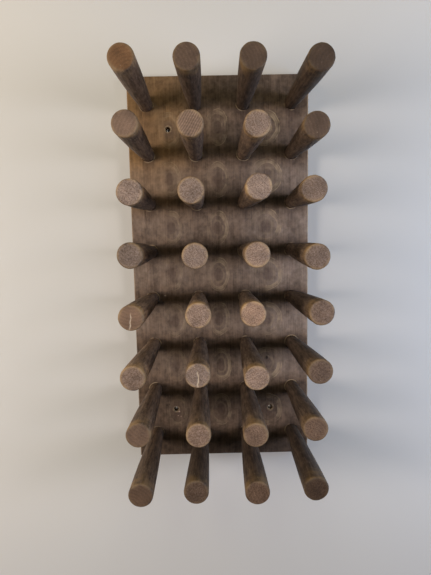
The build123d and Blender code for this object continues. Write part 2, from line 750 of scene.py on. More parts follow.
MARKS: tuple[Mark, ...] = (
    Mark(78.0, -150.0, 3.4, 4.6, 0.6, 0.9, "#1d1410"),
    Mark(-97.0, -37.0, 2.2, 1.4, 0.6, 0.8, "#b5a692"),
    Mark(-100.0, -233.0, 1.6, 1.8, 0.7, 0.8, "#1b1513"),
    Mark(-95.5, -232.0, 1.3, 1.3, 0.7, 0.7, "#1b1513"),
    Mark(-78.6, -245.5, 2.0, 1.6, 0.6, 0.85, "#c0a598"),
    Mark(-80.5, -253.0, 1.6, 1.3, 0.6, 0.7, "#ab9184"),
    Mark(-75.6, -254.5, 1.1, 1.4, 0.6, 0.7, "#ab9184"),
    Mark(-70.5, -259.0, 1.2, 1.5, 0.7, 0.7, "#1f1815"),
    Mark(104.0, 133.0, 1.2, 1.0, 0.7, 0.6, "#31251f"),
)


@dataclass(frozen=True)
class RubbedRing:
    """One of the nested rings that hung mugs rub into the board.

    Attributes:
        radius: Half its height, mm.
        strength: How much of its colour shows.
        width: Half its line's width, mm.
    """

    radius: float
    strength: float
    width: float


@dataclass(frozen=True)
class StainedBoardWood:
    """The same hardwood sawn into staves, planed, glued up, stained and oiled.

    Its side grain runs upright: fine darker pores 0.5 to 1 mm wide and some centimetres long over
    softer bands 5 to 15 mm wide. Mugs have rubbed nested oval rings into the middle of each cell
    between four pegs, their lines partly a painted highlight. A greyish haze there is partly left
    by handling and partly painted light; the dark round the pegs' roots is partly dirt and partly
    painted shade, and dark bands along the rows of pegs are painted shadow. A pool of warm light
    is painted at the top left, and the top and bottom edges are darkest. The back shows only the
    stained grain.

    Attributes:
        name: The material's name.
        layout: The grid of the pegs' roots.
        screws: Distance between screw holes, across and up, m.
        shift: Moves this stave's grain away from the others', mm.
        paleness: How pale this stave is, where 1 is the usual.
        root_radius: A bore's radius at its mouth, mm.
        shadow_band_spread: How much further apart the painted shadow bands are than the rows of
            pegs.
        shadow_band_drop: How far the painted shadow bands sit below the pegs' rows, mm.
        knot: The knot that the grain flows round.
        rub_depth: How far from the back the front's wear and painted light and shade begin to
            fade, mm.
        pore_scale: Scale of the pores' noise, per mm.
        pore_stretch: A pore's width over its length.
        band_scale: Scale of the soft bands' noise, per mm.
        band_stretch: A band's width over its length.
        smudge_scale: Scale of the smudges' noise, per mm.
        blotch_scale: Scale of the noise that makes marks patchy, per mm.
        grain_shares: How strongly the pores, the bands and the smudges show.
        rings: The rings in each cell.
        ring_middle: Where the rings' middle lies, as shares of the cell across and down.
        ring_stray: How far it strays from cell to cell, as a share of the cell.
        ring_wobble: How far the rings wander from true ovals, mm.
        grime_and_shade_reach: How far the dark round a bore, partly dirt and partly painted shade,
            spreads from its edge, mm.
        bare_rim: Inner and outer radius of the bared ring round a screw hole, mm.
        roughness: Roughness in the pores and between them.
        dark: Colour in the pores.
        middle: Colour between them.
        haze_and_light: Colour of the greyish haze, partly left by handling and partly painted
            light between the rows.
        painted_warm_light: Colour of the painted pool of warm light at the top left.
        scuff: Colour of a rubbed line, also of the painted highlights on the rings and on the
            upright edges.
        grime_and_shade: Colour of the dark round the pegs' roots, partly dirt and partly painted
            shade.
        hollow: Colour inside the rings.
    """

    name: str
    layout: BoardLayout
    screws: tuple[float, float]
    shift: float
    paleness: float = 1.0
    root_radius: float = 11.2
    shadow_band_spread: float = 1.08
    shadow_band_drop: float = 4.0
    knot: Knot = Knot()
    rub_depth: float = 15.0
    pore_scale: float = 0.55
    pore_stretch: float = 0.03
    band_scale: float = 0.085
    band_stretch: float = 0.09
    smudge_scale: float = 0.12
    blotch_scale: float = 0.035
    grain_shares: tuple[float, float, float] = (0.8, 0.9, 1.15)
    rings: tuple[RubbedRing, ...] = (
        RubbedRing(24.0, 0.42, 4.5),
        RubbedRing(28.5, 0.6, 1.2),
        RubbedRing(21.5, 0.45, 1.2),
        RubbedRing(13.0, 0.25, 3.5),
    )
    ring_middle: tuple[float, float] = (0.42, 0.52)
    ring_stray: float = 0.06
    ring_wobble: float = 7.0
    grime_and_shade_reach: float = 14.0
    bare_rim: tuple[float, float] = (4.6, 7.2)
    roughness: tuple[float, float] = (0.78, 0.52)
    dark: str = "#45362b"
    middle: str = "#735e4d"
    haze_and_light: str = "#998a7e"
    painted_warm_light: str = "#8a693f"
    scuff: str = "#b09c7e"
    grime_and_shade: str = "#2b211c"
    hollow: str = "#43312a"

    def build(self) -> bpy.types.Material:
        """Builds the material.

        Returns:
            The material, which reads Object coordinates.
        """
        material, tree = new_material(self.name)
        place = add_node(tree, "ShaderNodeTexCoord").outputs["Object"]
        in_mm = add_node(
            tree, "ShaderNodeVectorMath", {0: place, "Scale": 1 / MM}, operation="SCALE"
        )
        x, y, z = add_node(tree, "ShaderNodeSeparateXYZ", {"Vector": in_mm}).outputs
        flat = add_node(tree, "ShaderNodeCombineXYZ", {"X": x, "Z": z})
        own = add_node(
            tree,
            "ShaderNodeVectorMath",
            {0: in_mm, 1: (self.shift, 0.0, 7 * self.shift)},
            operation="ADD",
        )
        own = self.bend_round_knot(tree, flat, own)
        blotches = add_node(
            tree,
            "ShaderNodeTexNoise",
            {"Vector": own, "Scale": self.blotch_scale, "Detail": 5.0, "Roughness": 0.62},
        ).outputs["Fac"]
        grain = self.build_grain(tree, own)
        colour = add_node(
            tree,
            "ShaderNodeMix",
            {"Factor": grain, "A": linear(self.dark), "B": linear(self.middle)},
            data_type="RGBA",
        )
        stain_only = colour
        cell_x = add_node(
            tree,
            "ShaderNodeMapRange",
            {
                "Value": x,
                "From Min": self.layout.first_x / MM,
                "From Max": (self.layout.first_x + self.layout.pitch_x) / MM,
            },
            clamp=False,
        )
        cell_z = add_node(
            tree,
            "ShaderNodeMapRange",
            {
                "Value": z,
                "From Min": self.layout.first_z / MM,
                "From Max": (self.layout.first_z - self.layout.pitch_z) / MM,
            },
            clamp=False,
        )
        cell = add_node(tree, "ShaderNodeCombineXYZ", {"X": cell_x, "Y": cell_z}).outputs[0]
        grain_shade = add_node(
            tree, "ShaderNodeMapRange", {"Value": grain, "To Min": 0.66, "To Max": 1.24}
        )
        # painted warm light at the top left
        colour = self.add_painted_warm_light(tree, colour, x, z, blotches, grain_shade)
        # haze along the cell middles, partly wear and partly painted light
        colour = self.add_haze_and_light(tree, colour, x, z, cell_z, blotches, grain_shade)
        colour, ring_height = self.add_rings(tree, colour, cell, own)
        # dark round the roots, partly dirt and partly painted shade
        colour = self.add_root_grime_and_shade(tree, colour, cell, own)
        colour = self.add_screw_rims(tree, colour, x, z, own)
        # painted shadow: dark bands along the rows of pegs
        colour = self.add_painted_row_shadows(tree, colour, x, z)
        colour = self.add_edges(tree, colour, x, z, own)
        for mark in MARKS:
            colour = self.add_mark(tree, colour, flat, mark)
        # only the front is rubbed and carries the painted light and shade, and the back is as it
        # was stained
        front = add_node(
            tree,
            "ShaderNodeMapRange",
            {
                "Value": y,
                "From Min": -self.rub_depth,
                "From Max": 0.4 * -self.rub_depth,
                "To Min": 1.0,
                "To Max": 0.0,
            },
        )
        colour = add_node(
            tree, "ShaderNodeMix", {"Factor": front, "A": stain_only, "B": colour}, data_type="RGBA"
        )
        ring_height = add_node(
            tree, "ShaderNodeMath", {0: ring_height, 1: front}, operation="MULTIPLY"
        )
        colour = add_node(
            tree, "ShaderNodeVectorMath", {0: colour, "Scale": self.paleness}, operation="SCALE"
        )
        height = add_node(tree, "ShaderNodeMath", {0: grain, 1: ring_height}, operation="SUBTRACT")
        bump = add_node(
            tree,
            "ShaderNodeBump",
            {"Strength": BUMP_STRENGTH, "Distance": BUMP_DEPTH * MM, "Height": height},
        )
        rough, smooth = self.roughness
        roughness = add_node(
            tree, "ShaderNodeMapRange", {"Value": grain, "To Min": rough, "To Max": smooth}
        )
        shader = add_node(
            tree,
            "ShaderNodeBsdfPrincipled",
            {
                "Base Color": colour,
                "Roughness": roughness,
                "Normal": bump,
                "Specular IOR Level": 0.3,
            },
        )
        add_node(tree, "ShaderNodeOutputMaterial", {"Surface": shader})
        return material

    def bend_round_knot(
        self, tree: bpy.types.NodeTree, flat: bpy.types.Node, own: bpy.types.Node
    ) -> bpy.types.Node:
        """Bends the grain's space round the knot.

        Args:
            tree: The material's tree.
            flat: The place on the board's face, mm.
            own: The stave's grain space, mm.

        Returns:
            The bent space.
        """
        away = add_node(
            tree,
            "ShaderNodeVectorMath",
            {0: flat, 1: (self.knot.x, 0.0, self.knot.z)},
            operation="SUBTRACT",
        )
        squeezed = add_node(
            tree, "ShaderNodeVectorMath", {0: away, 1: (1.0, 0.0, 0.45)}, operation="MULTIPLY"
        )
        distance = add_node(
            tree, "ShaderNodeVectorMath", {0: squeezed}, operation="LENGTH"
        ).outputs["Value"]
        push = add_node(
            tree,
            "ShaderNodeMapRange",
            {
                "Value": distance,
                "From Max": self.knot.reach,
                "To Min": -self.knot.push,
                "To Max": 0.0,
            },
            interpolation_type="SMOOTHSTEP",
        )
        direction = add_node(tree, "ShaderNodeVectorMath", {0: away}, operation="NORMALIZE")
        bend = add_node(
            tree, "ShaderNodeVectorMath", {0: direction, "Scale": push}, operation="SCALE"
        )
        return add_node(tree, "ShaderNodeVectorMath", {0: own, 1: bend}, operation="ADD")

    def build_grain(self, tree: bpy.types.NodeTree, own: bpy.types.Node) -> bpy.types.Node:
        """Adds the grain's pattern, 0 in its dark lines and 1 between them.

        Args:
            tree: The material's tree.
            own: The stave's grain space, mm.

        Returns:
            The node that gives the pattern.
        """
        pore_space = add_node(
            tree,
            "ShaderNodeVectorMath",
            {0: own, 1: (1.0, 1.0, self.pore_stretch)},
            operation="MULTIPLY",
        )
        pores = add_node(
            tree,
            "ShaderNodeTexNoise",
            {"Vector": pore_space, "Scale": self.pore_scale, "Detail": 3.0, "Roughness": 0.7},
        ).outputs["Fac"]
        band_space = add_node(
            tree,
            "ShaderNodeVectorMath",
            {0: own, 1: (1.0, 1.0, self.band_stretch)},
            operation="MULTIPLY",
        )
        bands = add_node(
            tree,
            "ShaderNodeTexNoise",
            {
                "Vector": band_space,
                "Scale": self.band_scale,
                "Detail": 5.0,
                "Roughness": 0.6,
                "Distortion": 0.7,
            },
        ).outputs["Fac"]
        smudges = add_node(
            tree,
            "ShaderNodeTexNoise",
            {"Vector": own, "Scale": self.smudge_scale, "Detail": 4.0, "Roughness": 0.6},
        ).outputs["Fac"]
        pore_share, band_share, smudge_share = self.grain_shares
        grain = add_node(
            tree, "ShaderNodeMath", {0: pores, 1: pore_share}, operation="MULTIPLY"
        )
        for noise, share in ((bands, band_share), (smudges, smudge_share)):
            grain = add_node(
                tree, "ShaderNodeMath", {0: noise, 1: share, 2: grain}, operation="MULTIPLY_ADD"
            )
        return add_node(
            tree, "ShaderNodeMapRange", {"Value": grain, "From Min": 1.14, "From Max": 1.76}
        )

    def add_painted_warm_light(
        self,
        tree: bpy.types.NodeTree,
        colour: bpy.types.Node,
        x: bpy.types.NodeSocket,
        z: bpy.types.NodeSocket,
        blotches: bpy.types.NodeSocket,
        grain_shade: bpy.types.Node,
    ) -> bpy.types.Node:
        """Paints a pool of warm light towards the top left.

        Args:
            tree: The material's tree.
            colour: The colour so far.
            x: Place across, mm.
            z: Place up, mm.
            blotches: A coarse noise.
            grain_shade: How pale the grain is, where 1 is the usual.

        Returns:
            The new colour.
        """
        across = add_node(
            tree,
            "ShaderNodeMapRange",
            {"Value": x, "From Min": -120.0, "From Max": 10.0, "To Min": 1.0, "To Max": 0.0},
            interpolation_type="SMOOTHSTEP",
        )
        up = add_node(
            tree,
            "ShaderNodeMapRange",
            {"Value": z, "From Min": 60.0, "From Max": 210.0},
            interpolation_type="SMOOTHSTEP",
        )
        patch = add_node(
            tree,
            "ShaderNodeMapRange",
            {"Value": blotches, "From Min": 0.3, "From Max": 0.7, "To Min": 0.5, "To Max": 1.0},
        )
        amount = add_node(tree, "ShaderNodeMath", {0: across, 1: up}, operation="MULTIPLY")
        amount = add_node(tree, "ShaderNodeMath", {0: amount, 1: patch}, operation="MULTIPLY")
        painted_warm_light = add_node(
            tree,
            "ShaderNodeVectorMath",
            {0: linear(self.painted_warm_light)[:3], "Scale": grain_shade},
            operation="SCALE",
        )
        return add_node(
            tree, "ShaderNodeMix", {"Factor": amount, "A": colour, "B": painted_warm_light}, data_type="RGBA"
        )

    def add_haze_and_light(
        self,
        tree: bpy.types.NodeTree,
        colour: bpy.types.Node,
        x: bpy.types.NodeSocket,
        z: bpy.types.NodeSocket,
        cell_z: bpy.types.Node,
        blotches: bpy.types.NodeSocket,
        grain_shade: bpy.types.Node,
    ) -> bpy.types.Node:
        """Lays a greyish haze along the middles of the cells, most of it at the right: partly wear
        from handling and partly painted light, where light falls between the rows of pegs.

        Args:
            tree: The material's tree.
            colour: The colour so far.
            x: Place across, mm.
            z: Place up, mm.
            cell_z: Row count from the top row, with its fraction.
            blotches: A coarse noise.
            grain_shade: How pale the grain is, where 1 is the usual.

        Returns:
            The new colour.
        """
        share = add_node(tree, "ShaderNodeMath", {0: cell_z}, operation="FRACT")
        off_middle = add_node(
            tree,
            "ShaderNodeMath",
            {0: add_node(tree, "ShaderNodeMath", {0: share, 1: 0.5}, operation="SUBTRACT")},
            operation="ABSOLUTE",
        )
        middle = add_node(
            tree,
            "ShaderNodeMapRange",
            {
                "Value": off_middle,
                "From Min": 0.08,
                "From Max": 0.46,
                "To Min": 1.0,
                "To Max": 0.12,
            },
            interpolation_type="SMOOTHSTEP",
        )
        right = add_node(
            tree,
            "ShaderNodeMapRange",
            {"Value": x, "From Min": 10.0, "From Max": 80.0, "To Min": 0.34, "To Max": 0.74},
            interpolation_type="SMOOTHSTEP",
        )
        left = add_node(
            tree,
            "ShaderNodeMapRange",
            {"Value": x, "From Min": -80.0, "From Max": -20.0, "To Min": 0.1, "To Max": 0.0},
            interpolation_type="SMOOTHSTEP",
        )
        high = add_node(
            tree,
            "ShaderNodeMapRange",
            {"Value": z, "From Min": 120.0, "From Max": 260.0, "To Min": 1.0, "To Max": 0.25},
            interpolation_type="SMOOTHSTEP",
        )
        low = add_node(
            tree,
            "ShaderNodeMapRange",
            {"Value": z, "From Min": -270.0, "From Max": -90.0, "To Min": 0.25, "To Max": 1.0},
            interpolation_type="SMOOTHSTEP",
        )
        patch = add_node(
            tree,
            "ShaderNodeMapRange",
            {"Value": blotches, "From Min": 0.3, "From Max": 0.7, "To Min": 0.45, "To Max": 1.15},
        )
        amount = add_node(tree, "ShaderNodeMath", {0: right, 1: left}, operation="ADD")
        for factor in (middle, high, low, patch):
            amount = add_node(tree, "ShaderNodeMath", {0: amount, 1: factor}, operation="MULTIPLY")
        haze_and_light = add_node(
            tree,
            "ShaderNodeVectorMath",
            {0: linear(self.haze_and_light)[:3], "Scale": grain_shade},
            operation="SCALE",
        )
        return add_node(
            tree, "ShaderNodeMix", {"Factor": amount, "A": colour, "B": haze_and_light}, data_type="RGBA"
        )

    def add_rings(
        self,
        tree: bpy.types.NodeTree,
        colour: bpy.types.Node,
        cell: bpy.types.NodeSocket,
        own: bpy.types.Node,
    ) -> tuple[bpy.types.Node, bpy.types.Node]:
        """Rubs nested oval rings into each cell: dents whose pale lines are partly scuffed wood
        and partly a painted highlight on their edges, strongest on their right as if lit from that
        side.

        Args:
            tree: The material's tree.
            colour: The colour so far.
            cell: Column and row counts with their fractions.
            own: The stave's grain space, mm.

        Returns:
            The new colour, and the depth of the rings for the bump.
        """
        number = add_node(tree, "ShaderNodeVectorMath", {0: cell}, operation="FLOOR")
        chance = add_node(tree, "ShaderNodeTexWhiteNoise", {"Vector": number}).outputs["Color"]
        inside = add_node(tree, "ShaderNodeVectorMath", {0: cell}, operation="FRACTION")
        moved = add_node(
            tree,
            "ShaderNodeVectorMath",
            {0: chance, 1: (-self.ring_stray, self.ring_stray, 0.0), 2: inside},
            operation="MULTIPLY_ADD",
        )
        local = add_node(
            tree,
            "ShaderNodeVectorMath",
            {0: moved, 1: (*self.ring_middle, 0.0)},
            operation="SUBTRACT",
        )
        local = add_node(
            tree,
            "ShaderNodeVectorMath",
            {0: local, 1: (self.layout.pitch_x / MM, self.layout.pitch_z / MM, 0.0)},
            operation="MULTIPLY",
        )
        wobble = add_node(
            tree, "ShaderNodeTexNoise", {"Vector": own, "Scale": 0.05, "Detail": 2.0}
        ).outputs["Color"]
        wobble = add_node(
            tree, "ShaderNodeVectorMath", {0: wobble, 1: (0.5, 0.5, 0.5)}, operation="SUBTRACT"
        )
        local = add_node(
            tree,
            "ShaderNodeVectorMath",
            {0: wobble, 1: (self.ring_wobble, self.ring_wobble, 0.0), 2: local},
            operation="MULTIPLY_ADD",
        )
        # the right-hand column's rings are wider, and the left-hand one's are fainter
        column, _, _ = add_node(tree, "ShaderNodeSeparateXYZ", {"Vector": number}).outputs
        narrow = add_node(
            tree,
            "ShaderNodeMapRange",
            {"Value": column, "From Min": 1.0, "From Max": 2.0, "To Min": 1.6, "To Max": 1.1},
        )
        squeeze = add_node(tree, "ShaderNodeCombineXYZ", {"X": narrow, "Y": 1.0})
        local = add_node(
            tree, "ShaderNodeVectorMath", {0: local, 1: squeeze}, operation="MULTIPLY"
        )
        local_x, _, _ = add_node(tree, "ShaderNodeSeparateXYZ", {"Vector": local}).outputs
        reach = add_node(
            tree, "ShaderNodeVectorMath", {0: local}, operation="LENGTH"
        ).outputs["Value"]
        # painted highlight: the rings' lines are painted stronger on their right, as if lit from
        # that side
        lit_side = add_node(
            tree,
            "ShaderNodeMapRange",
            {"Value": local_x, "From Min": -20.0, "From Max": 14.0, "To Min": 0.3, "To Max": 1.0},
        )
        broken = add_node(
            tree, "ShaderNodeTexNoise", {"Vector": own, "Scale": 0.07, "Detail": 3.0}
        ).outputs["Fac"]
        broken = add_node(
            tree,
            "ShaderNodeMapRange",
            {"Value": broken, "From Min": 0.4, "From Max": 0.6, "To Min": 0.12},
        )
        patchy = add_node(tree, "ShaderNodeMath", {0: lit_side, 1: broken}, operation="MULTIPLY")
        faint = add_node(
            tree, "ShaderNodeMapRange", {"Value": column, "To Min": 0.5, "To Max": 1.0}
        )
        patchy = add_node(tree, "ShaderNodeMath", {0: patchy, 1: faint}, operation="MULTIPLY")
        # nothing hung outside the outer pegs
        edge_cell = add_node(
            tree,
            "ShaderNodeVectorMath",
            {0: number, 1: (COLUMNS / 2 - 1.0, ROWS / 2 - 1.0, 0.0)},
            operation="SUBTRACT",
        )
        edge_cell = add_node(
            tree,
            "ShaderNodeVectorMath",
            {0: edge_cell, 1: (2.0 / COLUMNS, 2.0 / ROWS, 0.0)},
            operation="MULTIPLY",
        )
        edge_cell = add_node(tree, "ShaderNodeVectorMath", {0: edge_cell}, operation="ABSOLUTE")
        outer_x, outer_z, _ = add_node(
            tree, "ShaderNodeSeparateXYZ", {"Vector": edge_cell}
        ).outputs
        outer = add_node(tree, "ShaderNodeMath", {0: outer_x, 1: outer_z}, operation="MAXIMUM")
        hung = add_node(tree, "ShaderNodeMath", {0: outer, 1: 0.9}, operation="LESS_THAN")
        patchy = add_node(tree, "ShaderNodeMath", {0: patchy, 1: hung}, operation="MULTIPLY")
        hollow = add_node(
            tree,
            "ShaderNodeMapRange",
            {"Value": reach, "From Min": 6.0, "From Max": 23.0, "To Min": 0.5, "To Max": 0.0},
            interpolation_type="SMOOTHSTEP",
        )
        hollow = add_node(tree, "ShaderNodeMath", {0: hollow, 1: hung}, operation="MULTIPLY")
        colour = add_node(
            tree,
            "ShaderNodeMix",
            {"Factor": hollow, "A": colour, "B": linear(self.hollow)},
            data_type="RGBA",
        )
        depth = None
        for rubbed in self.rings:
            off_ring = add_node(
                tree,
                "ShaderNodeMath",
                {
                    0: add_node(
                        tree, "ShaderNodeMath", {0: reach, 1: rubbed.radius}, operation="SUBTRACT"
                    ),
                },
                operation="ABSOLUTE",
            )
            ring = add_node(
                tree,
                "ShaderNodeMapRange",
                {
                    "Value": off_ring,
                    "From Min": 0.15 * rubbed.width,
                    "From Max": rubbed.width,
                    "To Min": rubbed.strength,
                    "To Max": 0.0,
                },
                interpolation_type="SMOOTHSTEP",
            )
            ring = add_node(tree, "ShaderNodeMath", {0: ring, 1: patchy}, operation="MULTIPLY")
            colour = add_node(
                tree,
                "ShaderNodeMix",
                {"Factor": ring, "A": colour, "B": linear(self.scuff)},
                data_type="RGBA",
            )
            if depth is None:
                depth = ring
            else:
                depth = add_node(tree, "ShaderNodeMath", {0: depth, 1: ring}, operation="ADD")
        return colour, depth

    def add_root_grime_and_shade(
        self,
        tree: bpy.types.NodeTree,
        colour: bpy.types.Node,
        cell: bpy.types.NodeSocket,
        own: bpy.types.Node,
    ) -> bpy.types.Node:
        """Darkens round each peg's root, partly dirt and partly painted shade, and pales the
        bore's edge.

        Args:
            tree: The material's tree.
            colour: The colour so far.
            cell: Column and row counts with their fractions.
            own: The stave's grain space, mm.

        Returns:
            The new colour.
        """
        near = add_node(
            tree, "ShaderNodeVectorMath", {0: cell, 1: (0.5, 0.5, 0.0)}, operation="ADD"
        )
        near = add_node(tree, "ShaderNodeVectorMath", {0: near}, operation="FRACTION")
        near = add_node(
            tree, "ShaderNodeVectorMath", {0: near, 1: (0.5, 0.5, 0.0)}, operation="SUBTRACT"
        )
        near = add_node(
            tree,
            "ShaderNodeVectorMath",
            {0: near, 1: (self.layout.pitch_x / MM, self.layout.pitch_z / MM, 0.0)},
            operation="MULTIPLY",
        )
        distance = add_node(
            tree, "ShaderNodeVectorMath", {0: near}, operation="LENGTH"
        ).outputs["Value"]
        # painted shade, partly dirt: darker towards each peg's root
        grime_and_shade = add_node(
            tree,
            "ShaderNodeMapRange",
            {
                "Value": distance,
                "From Min": self.root_radius,
                "From Max": self.root_radius + self.grime_and_shade_reach,
                "To Min": 0.38,
                "To Max": 0.0,
            },
            interpolation_type="SMOOTHSTEP",
        )
        colour = add_node(
            tree,
            "ShaderNodeMix",
            {"Factor": grime_and_shade, "A": colour, "B": linear(self.grime_and_shade)},
            data_type="RGBA",
        )
        # pale line on the bore's edge: partly rubbed wear and partly a painted highlight
        off_edge = add_node(
            tree,
            "ShaderNodeMath",
            {
                0: add_node(
                    tree,
                    "ShaderNodeMath",
                    {0: distance, 1: self.root_radius + 0.6},
                    operation="SUBTRACT",
                ),
            },
            operation="ABSOLUTE",
        )
        line = add_node(
            tree,
            "ShaderNodeMapRange",
            {"Value": off_edge, "From Min": 0.2, "From Max": 1.1, "To Min": 0.75, "To Max": 0.0},
        )
        patch = add_node(
            tree, "ShaderNodeTexNoise", {"Vector": own, "Scale": 0.06, "Detail": 2.0}
        ).outputs["Fac"]
        patch = add_node(
            tree, "ShaderNodeMapRange", {"Value": patch, "From Min": 0.45, "From Max": 0.6}
        )
        line = add_node(tree, "ShaderNodeMath", {0: line, 1: patch}, operation="MULTIPLY")
        return add_node(
            tree,
            "ShaderNodeMix",
            {"Factor": line, "A": colour, "B": linear(self.scuff)},
            data_type="RGBA",
        )

    def add_screw_rims(
        self,
        tree: bpy.types.NodeTree,
        colour: bpy.types.Node,
        x: bpy.types.NodeSocket,
        z: bpy.types.NodeSocket,
        own: bpy.types.Node,
    ) -> bpy.types.Node:
        """Bares pale wood in a narrow ring round each screw hole.

        Args:
            tree: The material's tree.
            colour: The colour so far.
            x: Place across, mm.
            z: Place up, mm.
            own: The stave's grain space, mm.

        Returns:
            The new colour.
        """
        across, up = self.screws
        fold_x = add_node(tree, "ShaderNodeMath", {0: x}, operation="ABSOLUTE")
        fold_x = add_node(
            tree, "ShaderNodeMath", {0: fold_x, 1: across / MM / 2}, operation="SUBTRACT"
        )
        fold_z = add_node(tree, "ShaderNodeMath", {0: z}, operation="ABSOLUTE")
        fold_z = add_node(
            tree, "ShaderNodeMath", {0: fold_z, 1: up / MM / 2}, operation="SUBTRACT"
        )
        off = add_node(tree, "ShaderNodeCombineXYZ", {"X": fold_x, "Y": fold_z})
        distance = add_node(
            tree, "ShaderNodeVectorMath", {0: off}, operation="LENGTH"
        ).outputs["Value"]
        inner, outer = self.bare_rim
        ring = add_node(
            tree,
            "ShaderNodeMapRange",
            {
                "Value": distance,
                "From Min": inner,
                "From Max": outer,
                "To Min": 0.6,
                "To Max": 0.0,
            },
        )
        patch = add_node(
            tree, "ShaderNodeTexNoise", {"Vector": own, "Scale": 0.2, "Detail": 2.0}
        ).outputs["Fac"]
        patch = add_node(
            tree,
            "ShaderNodeMapRange",
            {"Value": patch, "From Min": 0.35, "From Max": 0.6, "To Min": 0.3},
        )
        ring = add_node(tree, "ShaderNodeMath", {0: ring, 1: patch}, operation="MULTIPLY")
        return add_node(
            tree,
            "ShaderNodeMix",
            {"Factor": ring, "A": colour, "B": linear(self.scuff)},
            data_type="RGBA",
        )

    def add_painted_row_shadows(
        self,
        tree: bpy.types.NodeTree,
        colour: bpy.types.Node,
        x: bpy.types.NodeSocket,
        z: bpy.types.NodeSocket,
    ) -> bpy.types.Node:
        """Paints shadow: dark bands along the rows of pegs, where each row shades the board.

        Args:
            tree: The material's tree.
            colour: The colour so far.
            x: Place across, mm.
            z: Place up, mm.

        Returns:
            The new colour.
        """
        first = self.layout.first_z / MM
        second = first - self.layout.pitch_z / MM
        row = add_node(
            tree,
            "ShaderNodeMapRange",
            {
                "Value": z,
                "From Min": first * self.shadow_band_spread - self.shadow_band_drop,
                "From Max": second * self.shadow_band_spread - self.shadow_band_drop,
            },
            clamp=False,
        )
        share = add_node(tree, "ShaderNodeMath", {0: row}, operation="FRACT")
        off_middle = add_node(
            tree,
            "ShaderNodeMath",
            {0: add_node(tree, "ShaderNodeMath", {0: share, 1: 0.5}, operation="SUBTRACT")},
            operation="ABSOLUTE",
        )
        right = add_node(
            tree,
            "ShaderNodeMapRange",
            {"Value": x, "From Min": -110.0, "From Max": 60.0, "To Min": 0.12, "To Max": 0.38},
        )
        dark = add_node(
            tree,
            "ShaderNodeMapRange",
            {"Value": off_middle, "From Min": 0.2, "From Max": 0.48, "To Max": right},
            interpolation_type="SMOOTHSTEP",
        )
        # the painted shadow fades in the top rows and in the strip outside the right-hand pegs
        low = add_node(
            tree,
            "ShaderNodeMapRange",
            {"Value": z, "From Min": 120.0, "From Max": 260.0, "To Min": 1.0, "To Max": 0.2},
        )
        within = add_node(
            tree,
            "ShaderNodeMapRange",
            {"Value": x, "From Min": 105.0, "From Max": 135.0, "To Min": 1.0, "To Max": 0.1},
        )
        for factor in (low, within):
            dark = add_node(tree, "ShaderNodeMath", {0: dark, 1: factor}, operation="MULTIPLY")
        kept = add_node(tree, "ShaderNodeMath", {0: 1.0, 1: dark}, operation="SUBTRACT")
        return add_node(
            tree, "ShaderNodeVectorMath", {0: colour, "Scale": kept}, operation="SCALE"
        )

    def add_edges(
        self,
        tree: bpy.types.NodeTree,
        colour: bpy.types.Node,
        x: bpy.types.NodeSocket,
        z: bpy.types.NodeSocket,
        own: bpy.types.Node,
    ) -> bpy.types.Node:
        """Darkens the board towards its top and bottom, and pales its upright edges, partly rubbed
        wear and partly a painted highlight where the rounded edge catches the light.

        Args:
            tree: The material's tree.
            colour: The colour so far.
            x: Place across, mm.
            z: Place up, mm.
            own: The stave's grain space, mm.

        Returns:
            The new colour.
        """
        top = add_node(
            tree,
            "ShaderNodeMapRange",
            {"Value": z, "From Min": 180.0, "From Max": 326.0, "To Min": 1.0, "To Max": 0.85},
        )
        bottom = add_node(
            tree,
            "ShaderNodeMapRange",
            {"Value": z, "From Min": -322.0, "From Max": -170.0, "To Min": 0.72, "To Max": 1.0},
            interpolation_type="SMOOTHSTEP",
        )
        shade = add_node(tree, "ShaderNodeMath", {0: top, 1: bottom}, operation="MULTIPLY")
        colour = add_node(
            tree, "ShaderNodeVectorMath", {0: colour, "Scale": shade}, operation="SCALE"
        )
        # painted highlight, partly wear: a pale line along each upright edge, stronger at the
        # right
        right = add_node(
            tree,
            "ShaderNodeMapRange",
            {"Value": x, "From Min": 147.6, "From Max": 149.4, "To Max": 0.75},
        )
        left = add_node(
            tree,
            "ShaderNodeMapRange",
            {"Value": x, "From Min": -149.4, "From Max": -147.8, "To Min": 0.35, "To Max": 0.0},
        )
        rub_and_highlight = add_node(tree, "ShaderNodeMath", {0: right, 1: left}, operation="ADD")
        patch = add_node(
            tree, "ShaderNodeTexNoise", {"Vector": own, "Scale": 0.03, "Detail": 3.0}
        ).outputs["Fac"]
        patch = add_node(
            tree,
            "ShaderNodeMapRange",
            {"Value": patch, "From Min": 0.35, "From Max": 0.6, "To Min": 0.25},
        )
        rub_and_highlight = add_node(tree, "ShaderNodeMath", {0: rub_and_highlight, 1: patch}, operation="MULTIPLY")
        return add_node(
            tree,
            "ShaderNodeMix",
            {"Factor": rub_and_highlight, "A": colour, "B": linear(self.scuff)},
            data_type="RGBA",
        )

